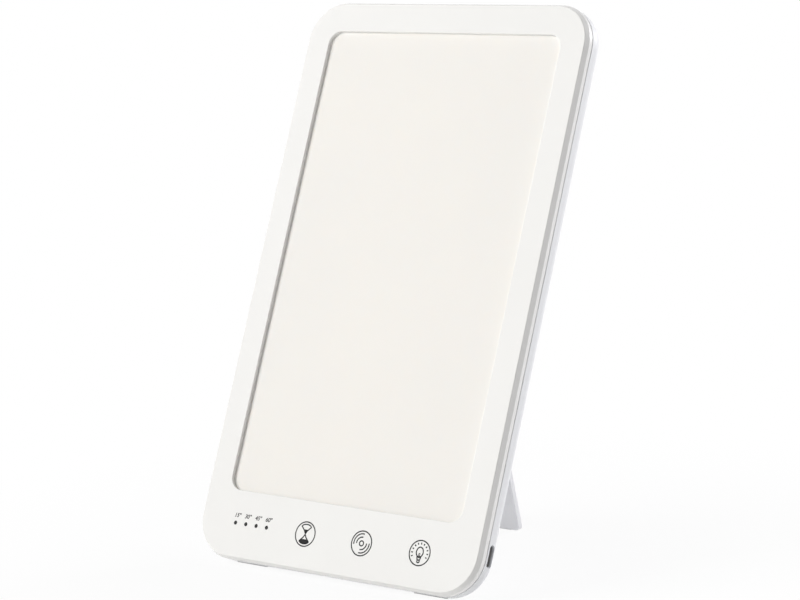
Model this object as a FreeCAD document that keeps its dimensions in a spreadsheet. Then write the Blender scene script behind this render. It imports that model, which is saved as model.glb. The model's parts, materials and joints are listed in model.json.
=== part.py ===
import FreeCAD, Part
import math
import os
import Sketcher

# Light therapy lamp: a flat edge-lit light panel that leans back on one fold-out leg.
#
# Every piece is drawn in the panel's own directions: X to the right as seen from the front,
# Y backwards from the front face, Z up along the panel from its bottom edge. A last step leans
# them all back together, so that the rubber feet and the leg's foot stand on Z = 0.

Vector = FreeCAD.Vector

# Driving dimensions in millimetres and degrees: name, value, what it is
DIMENSIONS = [
    ("PanelWidth", 143.0, "overall width of the panel"),
    ("PanelHeight", 240.0, "overall height of the panel along its own plane"),
    ("PanelDepth", 12.4, "overall thickness of the panel"),
    ("CornerRadius", 17.0, "corners of the panel seen from the front"),
    ("RearEdgeRadius", 5.0, "rounded rear edge of the rear cover"),
    ("SideWall", 1.8, "side walls of both shells"),
    ("FrontWall", 1.5, "front wall of the bezel, and so the depth of the window"),
    ("BackWall", 1.8, "back wall of the rear cover"),
    ("BevelAcross", 1.05, "front bevel measured across the face"),
    ("BevelBack", 2.2, "front bevel measured backwards"),
    ("BevelEdgeRadius", 0.4, "soft edges of the front bevel"),
    ("BezelDepth", 4.2, "depth of the bezel's outer side"),
    ("PartingGap", 0.5, "groove between the two shells, front to back"),
    ("PartingDepth", 0.4, "groove between the two shells, into the side"),
    ("PartingEdgeRadius", 0.2, "soft edges of that groove"),
    ("TongueDepth", 1.2, "bezel's inner tongue, behind its outer side"),
    ("TongueInset", 0.8, "tongue's outer face inside the panel's outline"),
    ("ShellClearance", 0.1, "gap between the tongue and the rear cover"),
    ("WindowSide", 12.2, "window wall to the panel's side"),
    ("WindowTop", 13.1, "window wall to the panel's top"),
    ("WindowBottom", 28.5, "window wall to the panel's bottom"),
    ("WindowRadius", 5.8, "corners of the window"),
    ("WindowLip", 0.3, "rounded front edge of the window"),
    ("StackOverlap", 2.6, "light stack hidden behind the bezel"),
    ("StackRadius", 3.0, "corners of the sheets in the stack"),
    ("DiffuserThickness", 1.8, "milky diffuser panel"),
    ("FilmThickness", 0.2, "brightness film"),
    ("GuideThickness", 2.5, "light guide"),
    ("ReflectorThickness", 0.2, "white reflector sheet"),
    ("TrayThickness", 0.8, "aluminium back plate and its flanges"),
    ("LedGap", 0.3, "light guide's edge to the LEDs"),
    ("LedDepth", 1.0, "LED package across"),
    ("LedLength", 3.5, "LED package along the strip"),
    ("LedPitch", 8.0, "one LED to the next"),
    ("LedMargin", 6.0, "strip's end to the first LED"),
    ("StripThickness", 0.8, "lamp strip's board"),
    ("StripFront", 3.0, "front edge of the lamp strips and tray flanges, from the face"),
    ("ControlHeight", 14.9, "centres of the touch buttons and timer windows"),
    ("ButtonFirst", -14.9, "first touch button, from the middle"),
    ("ButtonPitch", 29.0, "one touch button to the next"),
    ("PadDiameter", 9.0, "copper touch pad"),
    ("PadThickness", 0.1, "copper touch pad"),
    ("TimerFirst", -52.2, "first timer window, from the middle"),
    ("TimerPitch", 5.57, "one timer window to the next"),
    ("TimerDiameter", 1.7, "timer window"),
    ("TimerLensDepth", 0.9, "timer window, front to back"),
    ("TimerLedWidth", 1.0, "timer LED, each way across"),
    ("TimerLedDepth", 0.4, "timer LED, front to back"),
    ("BoardThickness", 1.0, "both circuit boards"),
    ("TouchBoardMargin", 4.4, "touch board beyond the timer windows and the touch pads"),
    ("TouchBoardHeight", 9.6, "touch board"),
    ("MainBoardGap", 0.8, "main board to the bezel's side wall and to the leg's recess"),
    ("MainBoardCorner", 8.0, "main board's cut corner, inside the panel's round one"),
    ("MainBoardNotchGap", 0.6, "main board's notch round a cover screw's post"),
    ("BoardPostDiameter", 4.2, "bezel's posts under the main board"),
    ("BoardPostInset", 2.1, "post centres inside the main board's edges"),
    ("BoardPostGap", 0.3, "posts to the touch board's edges"),
    ("BoardScrewDiameter", 1.6, "board screw's shank"),
    ("BoardScrewHead", 3.0, "board screw's head across"),
    ("BoardScrewHeadDepth", 1.0, "board screw's head"),
    ("BoardScrewHold", 1.5, "board screw's shank inside its post"),
    ("PortHeight", 18.4, "port's centre above the panel's bottom"),
    ("PortCentre", 7.2, "port's centre behind the front face"),
    ("PortLength", 9.1, "port's slot along the panel's side"),
    ("PortWidth", 3.3, "port's slot across the panel's side"),
    ("PortClearance", 0.1, "slot to socket, all round"),
    ("PortRecess", 0.6, "socket's mouth inside the panel's side"),
    ("SocketDepth", 7.4, "socket's shell"),
    ("SocketWall", 0.3, "socket's side walls"),
    ("SocketBack", 0.9, "socket's closed inner end"),
    ("SocketTongueRecess", 0.6, "contact tongue's tip inside the socket's mouth"),
    ("SocketTongueThickness", 0.7, "contact tongue in the socket"),
    ("SocketTongueLength", 6.7, "contact tongue in the socket"),
    ("CoverScrewSide", 19.5, "cover screws from the panel's sides"),
    ("CoverScrewDiameter", 2.0, "cover screw's shank"),
    ("CoverScrewHead", 3.6, "cover screw's head across"),
    ("CoverScrewHeadDepth", 1.2, "cover screw's head"),
    ("CoverScrewHole", 0.3, "room round the screw's head and shank, all round"),
    ("CoverScrewTip", 2.9, "cover screw's tip behind the front face"),
    ("CoverScrewSeat", 10.2, "screw head's seat behind the front face"),
    ("CoverBossSplit", 8.4, "where the bezel's posts meet the cover's, behind the front face"),
    ("CoverBossDiameter", 5.0, "bezel's posts for the cover screws"),
    ("CoverBossGap", 0.2, "bezel's posts to the light stack"),
    ("CoverSleeveDiameter", 6.6, "cover's posts round the cover screws"),
    ("SlotDepth", 0.5, "cross slot in the screw heads"),
    ("SlotWidth", 0.5, "cross slot in the screw heads"),
    ("SlotReach", 0.6, "cross slot's length as a share of the head's width"),
    ("RibInset", 15.4, "cover's long ribs inside the light stack's edges"),
    ("RibThickness", 1.2, "cover's long ribs"),
    ("LegWidth", 44.0, "leg across"),
    ("LegThickness", 2.6, "leg's plate"),
    ("LegReach", 140.8, "leg's pivot to its foot"),
    ("LegCornerRadius", 2.0, "leg's lower corners"),
    ("LegEdgeRadius", 0.5, "soft edges of the leg's rear face"),
    ("LegOpenAngle", 37.15, "leg's swing from folded to open, where it stops"),
    ("PivotHeight", 150.55, "leg's pivot above the panel's bottom"),
    ("BarrelDiameter", 3.6, "leg's barrel round its pins"),
    ("PinDiameter", 1.6, "hinge pins"),
    ("PinHold", 4.6, "hinge pin inside its ear and inside the leg, each"),
    ("PinClearance", 0.05, "leg's bore to the pins, all round"),
    ("RecessSide", 0.5, "recess wall to the leg's side"),
    ("RecessEnd", 0.8, "recess wall to the leg's ends"),
    ("RecessFloor", 0.3, "recess floor to the folded leg, and the leg below the rear face"),
    ("RecessWall", 1.5, "side walls of the recess"),
    ("RecessRim", 0.4, "soft rim of the recess"),
    ("HingeFloorHalf", 4.0, "deeper floor below and above the pivot"),
    ("StopGap", 0.03, "heel to the recess floor when the leg is open"),
    ("ScoopRadius", 6.5, "finger scoops beside the leg"),
    ("ScoopHeight", 32.0, "finger scoops above the recess's lower end"),
    ("CutBeyond", 1.0, "cuts run past the outer surface by this much"),
    ("FootSide", 25.5, "middle of the panel's rubber feet from the panel's sides"),
    ("FootLength", 16.0, "panel's rubber feet along X"),
    ("FootAhead", 0.9, "panel's rubber feet in front of the rear edge's lowest line"),
    ("FootBehind", 2.5, "panel's rubber feet behind the rear edge's lowest line"),
    ("FootInset", 0.9, "panel's rubber feet inside the rear edge"),
    ("FootProud", 0.35, "panel's rubber feet below the rear edge"),
    ("LegPadSide", 5.0, "leg's rubber foot short of the leg's sides"),
    ("LegPadThickness", 1.4, "leg's rubber foot across the leg's plate"),
    ("LegPadHold", 2.4, "leg's rubber foot inside the leg"),
    ("LegPadProud", 0.4, "leg's rubber foot beyond the leg's end"),
    ("RibbonThickness", 0.3, "flat leads of the lamp strips"),
    ("RibbonWidth", 1.2, "flat leads of the lamp strips"),
    ("RibbonBend", 1.0, "bends of the flat leads"),
    ("RibbonDrop", 1.5, "flat leads below the light stack"),
    ("PlugLength", 4.0, "lead connectors on the main board, along the lead"),
    ("PlugDepth", 1.6, "lead connectors on the main board, front to back"),
    ("PlugWidth", 5.0, "lead connectors on the main board, across the lead"),
    ("LeftPlugAcross", 1.2, "left lead's connector from the main board's left end"),
    ("LeftPlugUp", 6.6, "left lead's connector above the main board's lower edge"),
    ("RightPlugAcross", 5.0, "right lead's connector from the lamp strip"),
    ("RightPlugDown", 3.4, "right lead's connector below the lead's turn"),
]

# Blocks on the main board: name, then left and bottom from the board's lower left corner,
# width, height and depth
BOARD_BLOCKS = [
    ("controller_chip", 8.0, 9.5, 6.0, 6.0, 0.9),
    ("driver_chip", 18.0, 10.5, 4.0, 4.0, 0.9),
    ("driver_inductor", 26.0, 3.5, 6.0, 6.0, 2.6),
]

# Capacitors beside them: left and bottom from the same corner, width, height, depth, spacing
CAPACITOR_ROW = (16.0, 4.0, 1.6, 3.2, 1.2, 3.0)
CAPACITOR_COUNT = 3

# Connector between the two boards: left end from the main board's left end, width, height
BOARD_CONNECTOR = (8.2, 8.0, 3.2)

doc = FreeCAD.newDocument("LightTherapyLamp")
sizes = doc.addObject("Spreadsheet::Sheet", "Sizes")
derived = doc.addObject("Spreadsheet::Sheet", "Derived")


class Size:
    """A length, angle or ratio, held both as a sheet expression and as its number."""

    def __init__(self, text, number):
        self.text = text
        self.number = number

    def __add__(self, other):
        return joined(self, "+", other, self.number + number_of(other))

    def __radd__(self, other):
        return joined(other, "+", self, number_of(other) + self.number)

    def __sub__(self, other):
        return joined(self, "-", other, self.number - number_of(other))

    def __rsub__(self, other):
        return joined(other, "-", self, number_of(other) - self.number)

    def __mul__(self, other):
        return joined(self, "*", other, self.number * number_of(other))

    def __rmul__(self, other):
        return joined(other, "*", self, number_of(other) * self.number)

    def __truediv__(self, other):
        return joined(self, "/", other, self.number / number_of(other))

    def __neg__(self):
        return Size("(-1 * %s)" % self.text, -self.number)


def number_of(value):
    return value.number if isinstance(value, Size) else float(value)


def text_of(value):
    return value.text if isinstance(value, Size) else "%g" % value


def joined(left, sign, right, number):
    return Size("(%s %s %s)" % (text_of(left), sign, text_of(right)), number)


def sine(angle):
    return Size("sin(%s)" % angle.text, math.sin(math.radians(angle.number)))


def cosine(angle):
    return Size("cos(%s)" % angle.text, math.cos(math.radians(angle.number)))


def tangent(angle):
    return Size("tan(%s)" % angle.text, math.tan(math.radians(angle.number)))


def hypotenuse(across, along):
    text = "sqrt(%s * %s + %s * %s)" % (across.text, across.text, along.text, along.text)
    return Size(text, math.hypot(across.number, along.number))


def slope_of(rise, run):
    degrees = math.degrees(math.atan2(rise.number, run.number))
    return Size("atan2(%s; %s)" % (rise.text, run.text), degrees)


def arc_sine(ratio):
    return Size("asin(%s)" % ratio.text, math.degrees(math.asin(ratio.number)))


class Dimensions:
    """The driving dimensions, each an attribute with the sheet's own name."""


def fill_sheet():
    named = Dimensions()
    for row, (name, value, meaning) in enumerate(DIMENSIONS, start=1):
        sizes.set("A%d" % row, name)
        sizes.set("B%d" % row, repr(value))
        sizes.set("C%d" % row, meaning)
        sizes.setAlias("B%d" % row, name)
        setattr(named, name, Size("Sizes." + name, value))
    return named


D = fill_sheet()
derived_rows = []


def derive(name, size):
    """Keep a worked-out size under its own name in the second sheet."""
    derived_rows.append(name)
    row = len(derived_rows)
    derived.set("A%d" % row, name)
    derived.set("B%d" % row, "=" + size.text)
    derived.setAlias("B%d" % row, name)
    return Size("Derived." + name, size.number)


# Outlines of the panel
half_width = D.PanelWidth / 2
window_half = half_width - D.WindowSide
window_top = D.PanelHeight - D.WindowTop
stack_half = derive("StackHalf", window_half + D.StackOverlap)
stack_bottom = derive("StackBottom", D.WindowBottom - D.StackOverlap)
stack_top = derive("StackTop", window_top + D.StackOverlap)

# Layers, from the front face backwards
diffuser_back = D.FrontWall + D.DiffuserThickness
film_back = diffuser_back + D.FilmThickness
guide_front = derive("GuideFront", film_back)
guide_back = derive("GuideBack", guide_front + D.GuideThickness)
reflector_back = guide_back + D.ReflectorThickness
stack_back = derive("StackBack", reflector_back + D.TrayThickness)
cover_front = D.BezelDepth + D.PartingGap
tongue_back = D.BezelDepth + D.TongueDepth
cavity_back = D.PanelDepth - D.BackWall

# Lamp strips beside the light guide, from the middle outwards
led_inner = derive("LedInner", stack_half + D.LedGap)
strip_inner = derive("StripInner", led_inner + D.LedDepth)
flange_inner = derive("FlangeInner", strip_inner + D.StripThickness)
tray_half = derive("TrayHalf", flange_inner + D.TrayThickness)

# Circuit boards
touch_board_front = D.FrontWall + D.PadThickness
touch_board_back = touch_board_front + D.BoardThickness
touch_board_low = D.ControlHeight - D.TouchBoardHeight / 2
touch_board_high = D.ControlHeight + D.TouchBoardHeight / 2
touch_board_left = D.TimerFirst - D.TouchBoardMargin
last_pad_edge = D.ButtonFirst + D.ButtonPitch * 2 + D.PadDiameter / 2
touch_board_right = last_pad_edge + D.TouchBoardMargin
socket_half = D.PortWidth / 2 - D.PortClearance
post_radius = D.BoardPostDiameter / 2
board_low_post = touch_board_low - D.BoardPostGap - post_radius
board_high_post = touch_board_high + D.BoardPostGap + post_radius
main_board_back = derive("MainBoardBack", D.PortCentre - socket_half)
main_board_front = derive("MainBoardFront", main_board_back - D.BoardThickness)
main_board_right = half_width - D.SideWall - D.MainBoardGap
main_board_bottom = derive("MainBoardBottom", board_low_post - D.BoardPostInset)
main_board_top = board_high_post + D.BoardPostInset

# Leg, pivot and recess
leg_half = D.LegWidth / 2
barrel_radius = D.BarrelDiameter / 2
pivot_depth = derive("PivotDepth", D.PanelDepth - D.RecessFloor - barrel_radius)
leg_front = derive("LegFront", barrel_radius - D.LegThickness)
recess_back = derive("RecessBack", pivot_depth + leg_front - D.RecessFloor)
hinge_floor = derive("HingeFloor", pivot_depth - barrel_radius - D.RecessFloor)
open_angle = derive("OpenAngle", D.LegOpenAngle * Size("1 deg", 1.0))
heel_reach = hinge_floor - pivot_depth + D.StopGap
heel_length = derive("HeelLength", -(heel_reach - leg_front * cosine(open_angle)) / sine(open_angle))
heel_sweep = hypotenuse(heel_length, barrel_radius)
recess_half = derive("RecessHalf", leg_half + D.RecessSide)
recess_top = derive("RecessTop", D.PivotHeight + heel_sweep + D.RecessEnd)
leg_tip = D.PivotHeight - D.LegReach
recess_bottom = derive("RecessBottom", leg_tip - D.RecessEnd)
recess_box_half = recess_half + D.RecessWall
main_board_left = derive("MainBoardLeft", recess_box_half + D.MainBoardGap)

# Lean of the panel: the floor touches the circle round the rear edge's rounding, which the
# rubber feet reach, and passes through the leg's foot.
edge_depth = D.PanelDepth - D.RearEdgeRadius
edge_height = D.RearEdgeRadius
foot_radius = D.RearEdgeRadius + D.FootProud
foot_run = pivot_depth + D.LegReach * sine(open_angle) - edge_depth
foot_rise = D.PivotHeight - D.LegReach * cosine(open_angle) - edge_height
foot_distance = hypotenuse(foot_run, foot_rise)
lean = derive("Lean", slope_of(foot_rise, foot_run) + arc_sine(foot_radius / foot_distance))
leg_slant = derive("LegSlant", open_angle - lean)
floor_drop = edge_height * cosine(lean) - edge_depth * sine(lean) - foot_radius

doc.recompute()


# Sketch outlines, each a function that draws itself into a sketch and binds it to the sheets

def bind(sketch, kind, places, size):
    index = sketch.addConstraint(Sketcher.Constraint(kind, *places, size.number))
    sketch.setExpression("Constraints[%d]" % index, size.text)


def as_size(value):
    return value if isinstance(value, Size) else Size("%g" % value, float(value))


def line(sketch, start, end):
    return sketch.addGeometry(Part.LineSegment(Vector(*start, 0), Vector(*end, 0)))


def arc(sketch, centre, radius, first, last):
    circle = Part.Circle(Vector(*centre, 0), Vector(0, 0, 1), radius)
    return sketch.addGeometry(Part.ArcOfCircle(circle, math.radians(first), math.radians(last)))


def rounded(left, right, bottom, top, radius):
    """A rectangle with four equal round corners."""

    def draw(sketch):
        x0, x1, z0, z1 = left.number, right.number, bottom.number, top.number
        r = radius.number
        first = line(sketch, (x0 + r, z0), (x1 - r, z0))
        arc(sketch, (x1 - r, z0 + r), r, -90, 0)
        line(sketch, (x1, z0 + r), (x1, z1 - r))
        arc(sketch, (x1 - r, z1 - r), r, 0, 90)
        line(sketch, (x1 - r, z1), (x0 + r, z1))
        arc(sketch, (x0 + r, z1 - r), r, 90, 180)
        line(sketch, (x0, z1 - r), (x0, z0 + r))
        arc(sketch, (x0 + r, z0 + r), r, 180, 270)
        for step in range(8):
            after = first + (step + 1) % 8
            sketch.addConstraint(Sketcher.Constraint("Tangent", first + step, 2, after, 1))
        for side, kind in ((0, "Horizontal"), (2, "Vertical"), (4, "Horizontal"), (6, "Vertical")):
            sketch.addConstraint(Sketcher.Constraint(kind, first + side))
        for corner in (3, 5, 7):
            sketch.addConstraint(Sketcher.Constraint("Equal", first + 1, first + corner))
        bind(sketch, "Radius", (first + 1,), radius)
        bind(sketch, "DistanceX", (-1, 1, first + 6, 1), left)
        bind(sketch, "DistanceX", (-1, 1, first + 2, 1), right)
        bind(sketch, "DistanceY", (-1, 1, first, 1), bottom)
        bind(sketch, "DistanceY", (-1, 1, first + 4, 1), top)

    return draw


def stadium(across, up, half_across, half_up):
    """An upright slot with round ends."""

    def draw(sketch):
        x, z, r = across.number, up.number, half_across.number
        straight = half_up.number - r
        first = line(sketch, (x + r, z - straight), (x + r, z + straight))
        arc(sketch, (x, z + straight), r, 0, 180)
        line(sketch, (x - r, z + straight), (x - r, z - straight))
        arc(sketch, (x, z - straight), r, 180, 360)
        for step in range(4):
            after = first + (step + 1) % 4
            sketch.addConstraint(Sketcher.Constraint("Tangent", first + step, 2, after, 1))
        sketch.addConstraint(Sketcher.Constraint("Vertical", first))
        bind(sketch, "Radius", (first + 1,), half_across)
        bind(sketch, "DistanceX", (-1, 1, first + 1, 3), across)
        bind(sketch, "DistanceY", (-1, 1, first + 1, 3), up + half_up - half_across)
        bind(sketch, "DistanceY", (-1, 1, first + 3, 3), up - half_up + half_across)

    return draw


def polygon(points):
    """Straight sides through the given points."""

    def draw(sketch):
        corners = [(as_size(across), as_size(up)) for across, up in points]
        count = len(corners)
        numbers = [(across.number, up.number) for across, up in corners]
        edges = [line(sketch, numbers[n], numbers[(n + 1) % count]) for n in range(count)]
        for n in range(count):
            after = edges[(n + 1) % count]
            sketch.addConstraint(Sketcher.Constraint("Coincident", edges[n], 2, after, 1))
        for edge, (across, up) in zip(edges, corners):
            bind(sketch, "DistanceX", (-1, 1, edge, 1), across)
            bind(sketch, "DistanceY", (-1, 1, edge, 1), up)

    return draw


def rectangle(left, right, bottom, top):
    return polygon([(left, bottom), (right, bottom), (right, top), (left, top)])


def discs(centres, diameter):
    """One circle at each centre."""

    def draw(sketch):
        for across, up in centres:
            place = Vector(number_of(across), number_of(up), 0)
            circle = Part.Circle(place, Vector(0, 0, 1), diameter.number / 2)
            index = sketch.addGeometry(circle)
            bind(sketch, "Diameter", (index,), diameter)
            bind(sketch, "DistanceX", (-1, 1, index, 3), as_size(across))
            bind(sketch, "DistanceY", (-1, 1, index, 3), as_size(up))

    return draw


# Features of a body. A sketch seen from the front lies in X and Z, at a depth behind the face;
# a sketch seen from the right side lies in Y and Z, at a distance from the middle.

def new_body(name):
    body = doc.addObject("PartDesign::Body", name)
    body.Label = name
    return body


def origin_part(body, role):
    return [item for item in body.Origin.OriginFeatures if item.Role == role][0]


def sketch_in(body, role, offset, outline):
    sketch = body.newObject("Sketcher::SketchObject", "Outline")
    sketch.AttachmentSupport = (origin_part(body, role), [""])
    sketch.MapMode = "FlatFace"
    sketch.setExpression("AttachmentOffset.Base.z", offset.text)
    outline(sketch)
    return sketch


def feature(body, kind, sketch, length):
    made = body.newObject("PartDesign::" + kind, kind)
    made.Profile = sketch
    made.setExpression("Length", length.text)
    sketch.Visibility = False
    doc.recompute()
    return made


def slab(body, outline, front, back):
    """Material between two depths, seen from the front."""
    front, back = as_size(front), as_size(back)
    return feature(body, "Pad", sketch_in(body, "XZ_Plane", -back, outline), back - front)


def cut(body, outline, front, back):
    """A cut between two depths, seen from the front."""
    front, back = as_size(front), as_size(back)
    return feature(body, "Pocket", sketch_in(body, "XZ_Plane", -front, outline), back - front)


def bar(body, outline, left, right):
    """Material between two distances from the middle, seen from the side."""
    return feature(body, "Pad", sketch_in(body, "YZ_Plane", left, outline), right - left)


def side_cut(body, outline, left, right):
    """A cut between two distances from the middle, seen from the side."""
    return feature(body, "Pocket", sketch_in(body, "YZ_Plane", right, outline), right - left)


def edges_where(made, wanted):
    """Names of the edges whose ends and middle all meet a condition."""
    names = []
    for index, edge in enumerate(made.Shape.Edges, start=1):
        span = edge.LastParameter - edge.FirstParameter
        points = [edge.valueAt(edge.FirstParameter + span * share) for share in (0, 0.5, 1)]
        if all(wanted(point) for point in points):
            names.append("Edge%d" % index)
    return names


def near(value, size):
    return abs(value - number_of(size)) < 0.01


def fillet(body, base, wanted, radius):
    made = body.newObject("PartDesign::Fillet", "Fillet")
    made.Base = (base, edges_where(base, wanted))
    made.setExpression("Radius", radius.text)
    doc.recompute()
    return made


def bevel(body, base, wanted, across, back):
    made = body.newObject("PartDesign::Chamfer", "Chamfer")
    made.Base = (base, edges_where(base, wanted))
    made.ChamferType = "Two distances"
    made.setExpression("Size", back.text)
    made.setExpression("Size2", across.text)
    doc.recompute()
    return made


def row_of(body, base, role, spacing, count):
    pattern = body.newObject("PartDesign::LinearPattern", "Row")
    pattern.Originals = [base]
    pattern.Direction = (origin_part(body, role), [""])
    pattern.Mode = "Spacing"
    pattern.setExpression("Offset", spacing.text)
    pattern.Occurrences = count
    body.Tip = pattern
    doc.recompute()
    return pattern


def panel_outline(inset):
    """The panel's front view, drawn in by an inset all round."""
    return rounded(
        -half_width + inset, half_width - inset, as_size(inset), D.PanelHeight - inset,
        D.CornerRadius - inset)


def foot_left(side):
    """The left end of a rubber foot under the panel."""
    return side * (half_width - D.FootSide) - D.FootLength / 2


sub_parts = []


def keep(piece, name, local=FreeCAD.Placement()):
    """List a finished sub-part under its name, with its place in the panel's directions."""
    piece.Label = name
    sub_parts.append((piece, name, local))
    return piece


# Places that several pieces share

cover_screw_across = half_width - D.CoverScrewSide
cover_screw_off_stack = D.CoverBossGap + D.CoverBossDiameter / 2
cover_screw_low = stack_bottom - cover_screw_off_stack
cover_screw_places = [
    (side * cover_screw_across, height)
    for side in (-1, 1)
    for height in (cover_screw_low, stack_top + cover_screw_off_stack)]
board_left_post = main_board_left + D.BoardPostInset
board_right_post = main_board_right - D.MainBoardCorner - D.BoardPostInset
board_screw_places = [
    (board_left_post, board_low_post),
    (board_left_post, board_high_post),
    (board_right_post, board_low_post)]
timer_places = [(D.TimerFirst + D.TimerPitch * n, D.ControlHeight) for n in range(4)]
button_places = [(D.ButtonFirst + D.ButtonPitch * n, D.ControlHeight) for n in range(3)]


def make_front_bezel():
    body = new_body("front_bezel")
    front = slab(body, panel_outline(0), 0, D.BezelDepth)
    front = bevel(body, front, lambda p: near(p.y, 0), D.BevelAcross, D.BevelBack)
    front = fillet(
        body, front, lambda p: near(p.y, 0) or near(p.y, D.BevelBack), D.BevelEdgeRadius)
    fillet(body, front, lambda p: near(p.y, D.BezelDepth), D.PartingEdgeRadius)
    slab(body, panel_outline(D.PartingDepth), D.BezelDepth, cover_front)
    slab(body, panel_outline(D.TongueInset), cover_front, tongue_back)
    cut(body, panel_outline(D.SideWall), D.FrontWall, tongue_back)
    opening = rounded(
        -window_half, window_half, D.WindowBottom, window_top, D.WindowRadius)
    window = cut(body, opening, 0, D.FrontWall)
    window_edge = window_half.number + 0.01
    fillet(body, window, lambda p: near(p.y, 0) and abs(p.x) < window_edge, D.WindowLip)
    slab(body, discs(cover_screw_places, D.CoverBossDiameter), D.FrontWall, D.CoverBossSplit)
    slab(body, discs(board_screw_places, D.BoardPostDiameter), D.FrontWall, main_board_front)
    cut(body, discs(cover_screw_places, D.CoverScrewDiameter), D.CoverScrewTip, D.CoverBossSplit)
    hold_front = main_board_front - D.BoardScrewHold
    cut(body, discs(board_screw_places, D.BoardScrewDiameter), hold_front, main_board_front)
    cut(body, discs(timer_places, D.TimerDiameter), 0, D.FrontWall)
    keep(body, "front_bezel")


def make_rear_cover():
    body = new_body("rear_cover")
    shell = slab(body, panel_outline(0), cover_front, D.PanelDepth)
    shell = fillet(body, shell, lambda p: near(p.y, D.PanelDepth), D.RearEdgeRadius)
    fillet(body, shell, lambda p: near(p.y, cover_front), D.PartingEdgeRadius)
    cavity = cut(body, panel_outline(D.SideWall), tongue_back, cavity_back)
    inner_radius = D.RearEdgeRadius - D.SideWall
    wall = (half_width - D.SideWall).number

    def on_cavity_floor(p):
        return near(p.y, cavity_back) and abs(p.x) < wall + 0.01

    fillet(body, cavity, on_cavity_floor, inner_radius)
    rebate = D.TongueInset - D.ShellClearance
    cut(body, panel_outline(rebate), cover_front, tongue_back)

    # Recess for the folded leg, with a finger scoop each side and ears for the hinge pins
    box_half = recess_box_half
    box_bottom = recess_bottom - D.RecessWall
    box_top = recess_top + D.RecessWall
    into_wall = cavity_back + D.BackWall / 2
    scoop_places = [(side * recess_half, recess_bottom + D.ScoopHeight) for side in (-1, 1)]
    scoop_wall = (D.ScoopRadius + D.RecessWall) * 2
    slab(body, rectangle(-box_half, box_half, box_bottom, box_top), stack_back, into_wall)
    slab(body, discs(scoop_places, scoop_wall), stack_back, into_wall)
    ear_outer = recess_half + D.PinHold
    ear_bottom = D.PivotHeight - D.HingeFloorHalf
    ear_top = D.PivotHeight + D.HingeFloorHalf
    slab(body, rectangle(-ear_outer, ear_outer, ear_bottom, ear_top), stack_back, into_wall)
    beyond = D.PanelDepth + D.CutBeyond
    cut(body, rectangle(-recess_half, recess_half, recess_bottom, recess_top), recess_back, beyond)
    cut(body, rectangle(-recess_half, recess_half, ear_bottom, recess_top), hinge_floor, beyond)
    scoop = cut(body, discs(scoop_places, D.ScoopRadius * 2), recess_back, beyond)
    rim = (recess_half + D.ScoopRadius).number + 0.01
    fillet(body, scoop, lambda p: near(p.y, D.PanelDepth) and abs(p.x) < rim, D.RecessRim)
    side_cut(body, discs([(pivot_depth, D.PivotHeight)], D.PinDiameter), -ear_outer, ear_outer)

    # Two long ribs that press the light stack forwards
    for side in (-1, 1):
        middle = side * (stack_half - D.RibInset)
        slab(
            body,
            rectangle(
                middle - D.RibThickness / 2, middle + D.RibThickness / 2,
                stack_bottom, stack_top),
            stack_back, into_wall)

    # Cover screws: a sleeve round each, a hole for its shank and a well for its head
    slab(body, discs(cover_screw_places, D.CoverSleeveDiameter), D.CoverBossSplit, into_wall)
    shank_hole = D.CoverScrewDiameter + D.CoverScrewHole * 2
    head_well = D.CoverScrewHead + D.CoverScrewHole * 2
    cut(body, discs(cover_screw_places, shank_hole), D.CoverBossSplit, beyond)
    cut(body, discs(cover_screw_places, head_well), D.CoverScrewSeat, beyond)

    # Port slot in the right side
    slot = stadium(D.PortCentre, D.PortHeight, D.PortWidth / 2, D.PortLength / 2)
    slot_inner = half_width - D.SideWall - D.CutBeyond
    side_cut(body, slot, slot_inner, half_width + D.CutBeyond)

    # Flats in the lower rear edge for the rubber feet
    for side in (-1, 1):
        left = foot_left(side)
        side_cut(body, foot_profile(D.FootProud + D.CutBeyond), left, left + D.FootLength)
    keep(body, "rear_cover")


def foot_profile(proud):
    """A rubber foot seen from the side, square to the floor that the panel leans over."""
    points = []
    for run, drop in (
            (-D.FootAhead, D.RearEdgeRadius + proud),
            (D.FootBehind, D.RearEdgeRadius + proud),
            (D.FootBehind, D.RearEdgeRadius - D.FootInset),
            (-D.FootAhead, D.RearEdgeRadius - D.FootInset)):
        depth = edge_depth + run * cosine(lean) + drop * sine(lean)
        height = edge_height + run * sine(lean) - drop * cosine(lean)
        points.append((depth, height))
    return polygon(points)


def make_foot_pads():
    for side, name in ((-1, "foot_pad_left"), (1, "foot_pad_right")):
        body = new_body(name)
        left = foot_left(side)
        bar(body, foot_profile(D.FootProud), left, left + D.FootLength)
        keep(body, name)


def make_light_stack():
    layers = (
        ("diffuser_panel", D.FrontWall, diffuser_back),
        ("brightness_film", diffuser_back, film_back),
        ("light_guide", guide_front, guide_back),
        ("reflector_sheet", guide_back, reflector_back))
    for name, front, back in layers:
        body = new_body(name)
        outline = rounded(-stack_half, stack_half, stack_bottom, stack_top, D.StackRadius)
        slab(body, outline, front, back)
        keep(body, name)


def make_back_plate():
    body = new_body("back_plate")
    plate = rectangle(-tray_half, tray_half, stack_bottom, stack_top)
    slab(body, plate, reflector_back, stack_back)
    for side in (-1, 1):
        edges = sorted((side * flange_inner, side * tray_half), key=number_of)
        flange = rectangle(edges[0], edges[1], stack_bottom, stack_top)
        slab(body, flange, D.StripFront, reflector_back)
    keep(body, "back_plate")


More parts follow.
